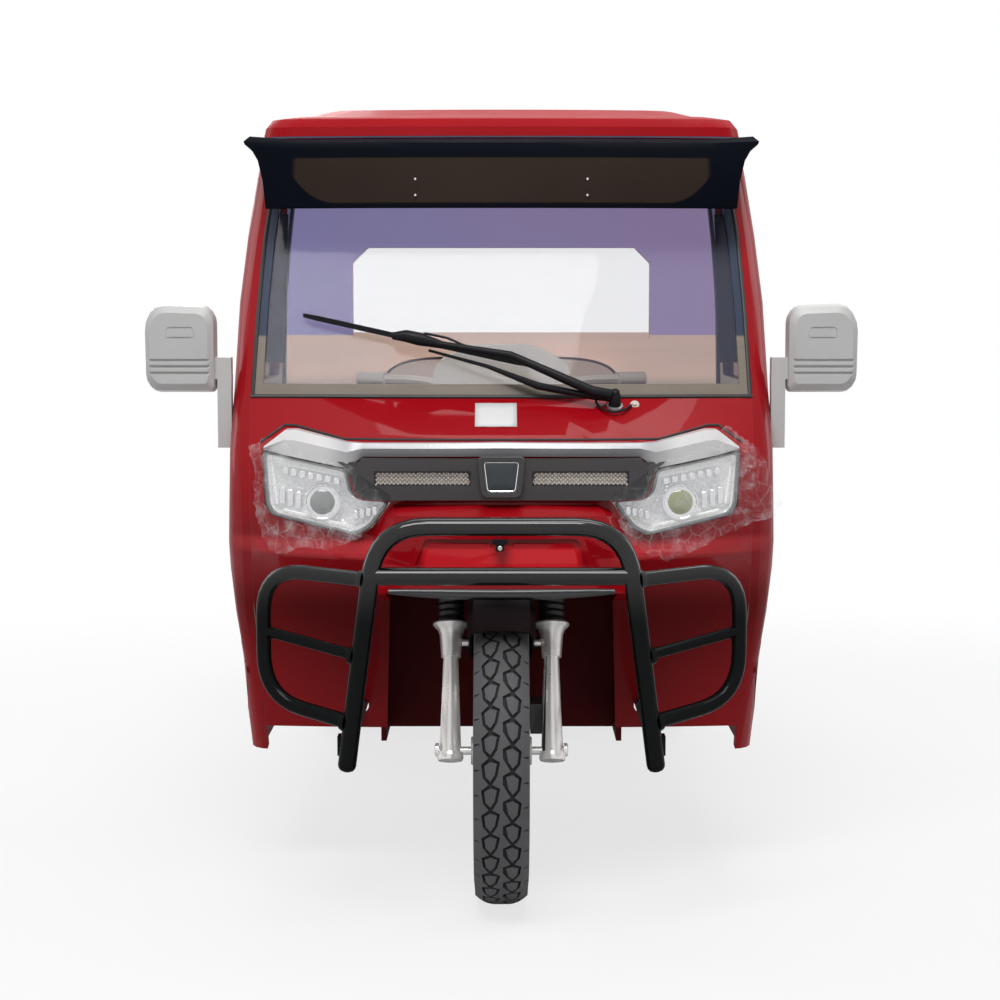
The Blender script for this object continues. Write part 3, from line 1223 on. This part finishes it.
def slim_leg(place):
    """The lower legs drawn in a little, to the thinner tubes of the photograph."""
    centre = math.copysign(FORK_HALF, place.x)
    if 0.335 < place.z < 0.60 and 0.080 < abs(place.x) < 0.145:
        place.x = centre + (place.x - centre) * 0.86
    if 0.565 < place.z < 0.640 and 0.070 < abs(place.x) < 0.155:
        centre_y = leg_at(1, place.z).y
        if abs(place.y - centre_y) < 0.045:
            place.x = centre + (place.x - centre) * 0.62
            place.y = centre_y + (place.y - centre_y) * 0.62


dressed("fork", steel, 0.0016, 40.0, 2, shape=slim_leg,
        inside=(caliper_grey, lambda normal, centre: 0.055 < centre.x < 0.0955 and 0.345 < centre.z < 0.450))

CUP_Z = 0.565
legs = bmesh.new()
boots = bmesh.new()
for side in (1, -1):
    add_turned(legs, leg_at(side, CUP_Z), fork_up,
               ((-0.048, 0.0215), (-0.020, 0.0238), (0.002, 0.0255), (0.014, 0.0300), (0.021, 0.0375),
                (0.0250, 0.0402), (0.0280, 0.0396), (0.0285, 0.026)), 36)
    add_turned(legs, leg_at(side, 0.306), fork_up,
               ((0.0, 0.0150), (0.002, 0.0265), (0.008, 0.0290), (0.014, 0.0280), (0.020, 0.0272)), 32)
    inward = -side
    add_turned(legs, leg_at(side, 0.553) + Vector((inward * 0.024, -0.012, 0)), (inward, 0, 0),
               ((0, 0.008), (0.014, 0.0078), (0.016, 0.006)), 16)
    add_turned(legs, (side * 0.136, -1.180, 0.330), (side, 0, 0),
               ((0, 0.0150), (0.007, 0.0145), (0.009, 0.010)), 18)
    profile = [(0.028 + index * 0.0075, 0.0300 if index % 2 else 0.0255) for index in range(13)]
    add_turned(boots, leg_at(side, CUP_Z), fork_up, profile, 28)
fitted("fork_cups", legs, steel, "fork")
boot_rubber = used("boot rubber", (0.012, 0.012, 0.013), 0.5, grain=0.2)
fitted("fork_boots", boots, boot_rubber, "fork")

# Mudguards: thin black mouldings over the wheels.
guard_black = used("guard plastic", (0.012, 0.007, 0.008), 0.40, grain=0.2, Specular_IOR_Level=0.05)
for node in ("front_mudguard", "rear_mudguard_left", "rear_mudguard_right"):
    dressed(node, guard_black, 0.0012)
bar_grey = used("bar grey", (0.62, 0.54, 0.46), 0.50, grain=0.2)
dressed("handlebar", bar_grey)
dressed("rear_bumper", black_plastic, 0.003)

# Wheels: pressed steel rims in silver, and tyres whose tread is cut in two rows of five-sided blocks on
# each side of a zigzag rib, with notched shoulders.
wheel_paint = used("wheel silver", (0.50, 0.50, 0.50), 0.35, 0.5, dust=0.2)
tread_rubber = used("tread rubber", (0.082, 0.081, 0.085), 0.70, grain=0.35, grain_scale=500.0, tone=0.2)
groove_rubber = used("groove rubber", (0.010, 0.010, 0.011), 0.80, grain=0.2)
for node in ("front_rim", "rear_rim_left", "rear_rim_right"):
    dressed(node, wheel_paint, 0.002)


HALF_GROOVE = 0.0030
TREAD_DEPTH = 0.006
COLUMN_CUTS = (-0.050, -0.042, -0.034, -0.026, -0.013, 0.0, 0.013, 0.026, 0.034, 0.042, 0.050)


def tread_tile(radius, pitch):
    """One pitch of the tread on its crown, round the X axis, starting at the top."""
    groove = HALF_GROOVE
    half = pitch / 2
    chain_out = [(-0.0225, half), (-0.0380, 0.0125), (-0.0350, -0.0120), (-0.0225, -half)]
    chain_in = [(-0.0225, half), (-0.0060, 0.0180), (-0.0110, -0.0080), (-0.0225, -half)]

    def moved(chain, amount):
        """The chain pushed sideways by an amount, square to its runs, and repeating at its ends."""
        whole = [(chain[-2][0], chain[-2][1] + pitch)] + chain + [(chain[1][0], chain[1][1] - pitch)]
        result = []
        for before, here, after in zip(whole, whole[1:], whole[2:]):
            first = (Vector(here) - Vector(before)).normalized()
            second = (Vector(after) - Vector(here)).normalized()
            normal = Vector((-first.y - second.y, first.x + second.x)).normalized()
            reach = amount / max(0.55, normal.dot(Vector((-first.y, first.x))))
            result.append(tuple(Vector(here) + normal * reach))
        return result

    block = moved(chain_in, -groove)[1:-1]
    outer = moved(chain_out, groove)[1:-1]
    top = (-0.0225, half - groove * 2.4)
    bottom = (-0.0225, -half + groove * 2.4)
    polygons = [[top] + block + [bottom] + outer[::-1]]
    shoulder = moved(chain_out, -groove)
    notched = [(-0.0560, -half), (-0.0560, -0.003), (-0.0425, 0.002), (-0.0560, 0.003), (-0.0560, half)]
    polygons.append(shoulder + notched)
    mirrored_pieces = [[(-x, s + half) for x, s in polygon] for polygon in polygons]
    left = moved(chain_in, groove)
    right_chain = [(-x, s) for x, s in left]
    right = [(0.0060 - groove, half), (right_chain[2][0], right_chain[2][1] + half),
             (right_chain[3][0], left[3][1] + half), (right_chain[1][0], right_chain[1][1] - half),
             (0.0060 - groove, -half)]
    polygons.append(left + right[::-1])
    bm = bmesh.new()
    for polygon in polygons + mirrored_pieces:
        flat = bmesh.new()
        flat.faces.new([flat.verts.new((x, s, 0)) for x, s in polygon])
        planes = [((cut, 0, 0), (1, 0, 0)) for cut in COLUMN_CUTS]
        planes += [((0, cut * pitch / 6 + 0.0007, 0), (0, 1, 0)) for cut in range(-3, 7)]
        for place, direction in planes:
            everything = flat.verts[:] + flat.edges[:] + flat.faces[:]
            bmesh.ops.bisect_plane(flat, geom=everything, plane_co=place, plane_no=direction)
        rim_edges = [edge for edge in flat.edges if edge.is_boundary]
        made = bmesh.ops.extrude_edge_only(flat, edges=rim_edges)
        for element in made["geom"]:
            if isinstance(element, bmesh.types.BMVert):
                element.co.x *= 0.996
                element.co.z = -TREAD_DEPTH
        for vert in flat.verts:
            x, s, drop = vert.co
            crown = radius - 0.0115 * (max(abs(x) - 0.012, 0.0) / 0.035) ** 2.2
            height = crown + drop
            angle = s / radius
            vert.co = (x, height * math.sin(angle), height * math.cos(angle))
        mesh = bpy.data.meshes.new("tread piece")
        flat.to_mesh(mesh)
        flat.free()
        bm.from_mesh(mesh)
        bpy.data.meshes.remove(mesh)
    for face in bm.faces:
        outside = Vector((0, face.calc_center_median().y, face.calc_center_median().z)).normalized()
        if face.normal.dot(outside) < -0.5:
            face.normal_flip()
    outward(bm)
    if sum(face.normal.z * face.calc_area() for face in bm.faces) < 0:
        bmesh.ops.reverse_faces(bm, faces=bm.faces)
    return bm


TYRE_SEGMENTS = 96
GROOVE_FLOOR = 0.0230


def make_tyre(node, radius, bead, count):
    """A tyre: carcass turned in one, then the tread's pitches set round it."""
    low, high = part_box(node)
    centre = Vector(((low[0] + high[0]) / 2, (low[1] + high[1]) / 2, radius))
    profile = [(-0.038, bead), (-0.043, bead + 0.006), (-0.044, bead + 0.014), (-0.050, bead + 0.030),
               (-0.0555, bead + 0.048), (-0.0575, bead + 0.062), (-0.0580, bead + 0.064),
               (-0.0582, bead + 0.068), (-0.0575, bead + 0.070), (-0.0570, bead + 0.080),
               (-0.0555, radius - 0.0245), (-0.050, radius - 0.0205), (-0.040, radius - 0.0135),
               (-0.030, radius - 0.0090), (-0.015, radius - 0.0062), (0.0, radius - 0.0060)]
    profile += [(-x, r) for x, r in reversed(profile[:-1])]
    bm = bmesh.new()
    rings = []
    for turn in range(TYRE_SEGMENTS):
        angle = math.tau * turn / TYRE_SEGMENTS
        rings.append([centre + Vector((x, r * math.sin(angle), r * math.cos(angle))) for x, r in profile])
    lofted(bm, rings + [rings[0]], False, False)
    carcass = object_from(f"{node}_carcass", outward(bm), tread_rubber, 50.0)
    carcass.data.materials.append(groove_rubber.material)
    for face in carcass.data.polygons:
        out = math.hypot(face.center.y - centre.y, face.center.z - centre.z)
        if out > radius - GROOVE_FLOOR:
            face.material_index = 1
    settle(carcass, node)
    pitch = math.tau * radius / count
    tile = tile_from("tread tile", tread_tile(radius, pitch))
    turns = [(-math.tau * index / count, 0, 0) for index in range(count)]
    places = points_from("tread places", [centre] * count, turns)
    settle(instanced(f"{node}_tread", tile, places, tread_rubber, True), node, False)


make_tyre("front_tyre", 0.328, 0.215, 38)
make_tyre("rear_tyre_left", 0.290, 0.180, 34)
make_tyre("rear_tyre_right", 0.290, 0.180, 34)

# Mirrors: light grey moulded heads on short arms, with a sunk bare patch in front and the glass behind.
mirror_grey = used("mirror plastic", (0.56, 0.555, 0.545), 0.45, grain=0.2, tone=0.08, Coat_Weight=0.08)
mirror_glass = used("mirror glass", (0.75, 0.77, 0.80), 0.03, 1.0, tone=0.02)
MIRROR_X = 0.711
MIRROR_Z = 1.199
MIRROR_BACK_Y = -0.982
MIRROR_FRONT_Y = -1.0485
MIRROR_PANE = ((-0.068, -0.082), (0.056, -0.084), (0.066, -0.070), (0.067, 0.058), (0.050, 0.082),
               (-0.056, 0.080), (-0.068, 0.066))
MIRROR_PATCH = ((-0.036, 0.024), (0.028, 0.024), (0.028, 0.046), (-0.036, 0.046))
for side, name in ((1, "left"), (-1, "right")):
    dressed(f"mirror_{name}", mirror_grey, 0.0040, 30.0, 3)
    pane = bmesh.new()
    rings = [[(side * (MIRROR_X + p.x * share), MIRROR_BACK_Y + depth, MIRROR_Z + p.y * share)
              for p in rounded(MIRROR_PANE, 0.018, 4)]
             for share, depth in ((1.0, -0.001), (1.0, 0.0010), (0.97, 0.0018))]
    lofted(pane, rings)
    fitted(f"mirror_glass_{name}", pane, mirror_glass, f"mirror_{name}")
    patch = bmesh.new()
    rings = [[(side * (MIRROR_X + p.x * share), MIRROR_FRONT_Y + depth, MIRROR_Z + p.y)
              for p in rounded(MIRROR_PATCH, 0.006, 3)]
             for share, depth in ((1.0, 0.002), (1.0, 0.0), (0.94, -0.0008), (0.90, 0.0006))]
    lofted(patch, rings)
    fitted(f"mirror_patch_{name}", patch, mirror_grey, f"mirror_{name}")

# Cab inside: a moulded dashboard, the pale instrument pod over the bars, and the seat's covered pads.
dash_tan = used("tan plastic", (0.44, 0.36, 0.29), 0.55, grain=0.3)
dressed("dashboard", dash_tan, 0.003)
pod_pale = used("pod plastic", (0.66, 0.62, 0.56), 0.45, grain=0.2, tone=0.05)
dressed("instrument_pod", pod_pale, 0.004, 30.0, 3)
seat_cover = used("seat cover", (0.52, 0.40, 0.31), 0.50, tone=0.10)
creases = seat_cover.noise(14.0, 5.0, 0.6)
leather = seat_cover.node("ShaderNodeTexVoronoi", (), {"Vector": seat_cover.place(), "Scale": 420.0})
seat_cover.bump(creases * 0.6 + leather * 0.25, 0.35, 0.0025)
seat_cover.feed("Emission Color", seat_cover.mix(creases, (0.50, 0.38, 0.30), (0.56, 0.43, 0.34)))
seat_cover.shader.inputs["Emission Strength"].default_value = 0.45
seam_thread = used("seam piping", (0.25, 0.18, 0.12), 0.55, grain=0.2)


PAD_ROLL = 5.0


def pad(name, node, upright):
    """A crowned pad: its sides draw in between the corners, and sewn channels cross its face."""
    low, high = (Vector(corner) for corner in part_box(node))
    low += Vector((0.002, 0.002, 0.0))
    high -= Vector((0.002, 0.002, 0.002))
    size = high - low
    centre = (low + high) / 2
    bm = bmesh.new()
    bmesh.ops.create_cube(bm, size=1.0)
    bmesh.ops.subdivide_edges(bm, edges=bm.edges[:], cuts=23, use_grid_fill=True)
    for vert in bm.verts:
        p = vert.co * 2
        if upright:
            u, v, w = p.x, p.z, -p.y
        else:
            u, v, w = p.x, p.y, p.z
        bulk = (abs(u) ** PAD_ROLL + abs(v) ** PAD_ROLL + abs(w) ** PAD_ROLL) ** (1 / PAD_ROLL)
        longest = max(abs(u), abs(v), abs(w), 1e-6)
        squared = longest / bulk
        u, v, w = u * squared, v * squared, w * squared
        pinch = 1 - 0.020 * (1 - min(1.0, abs(u)) ** 6) * abs(v) ** 3
        side_pinch = 1 - 0.015 * (1 - min(1.0, abs(v)) ** 6) * abs(u) ** 3
        crown = 0.80 + 0.20 * (1 - abs(u) ** 2.6) * (1 - abs(v) ** 2.6)
        if w > 0:
            channel = min(abs(u - place) for place in (-0.50, 0.0, 0.50))
            crown -= 0.13 * math.exp(-(channel / 0.035) ** 2) * (1 - abs(v) ** 8)
            w *= crown
        else:
            w *= 0.98
        u *= side_pinch
        v *= pinch
        half = size / 2
        if upright:
            vert.co = centre + Vector((u * half.x, -w * half.y, v * half.z))
        else:
            vert.co = centre + Vector((u * half.x, v * half.y, w * half.z))
    piece = object_from(name, bm, seat_cover, 80.0)
    modified(piece, "SUBSURF", levels=1, render_levels=1)
    settle(piece, node)
    piping = bmesh.new()
    ring = []
    for turn in range(96):
        angle = math.tau * turn / 96
        c = math.cos(angle)
        s = math.sin(angle)
        u = math.copysign(abs(c) ** (2 / PAD_ROLL), c) * 0.978
        v = math.copysign(abs(s) ** (2 / PAD_ROLL), s) * 0.972
        if upright:
            ring.append(centre + Vector((u * size.x / 2, -0.52 * size.y / 2, v * size.z / 2)))
        else:
            ring.append(centre + Vector((u * size.x / 2, v * size.y / 2, 0.52 * size.z / 2)))
    add_tube(piping, ring + [ring[0]], 0.0035, 8)
    fitted(f"{name}_piping", piping, seam_thread, node)


pad("seat_pad", "seat_cushion", False)
pad("back_pad", "seat_back", True)

# Tail lamps: ribbed red lenses in the bumper.
tail = used("tail lens", (0.50, 0.010, 0.010), 0.12, Coat_Weight=0.8)
ribs = tail.node("ShaderNodeTexWave", {"wave_type": "BANDS", "bands_direction": "X"},
                 {"Vector": tail.place(), "Scale": 60.0}, 1)
tail.bump(ribs, 0.5, 0.002)
for side in ("left", "right"):
    dressed(f"tail_lamp_{side}", tail, 0.002)

bpy.context.view_layer.update()
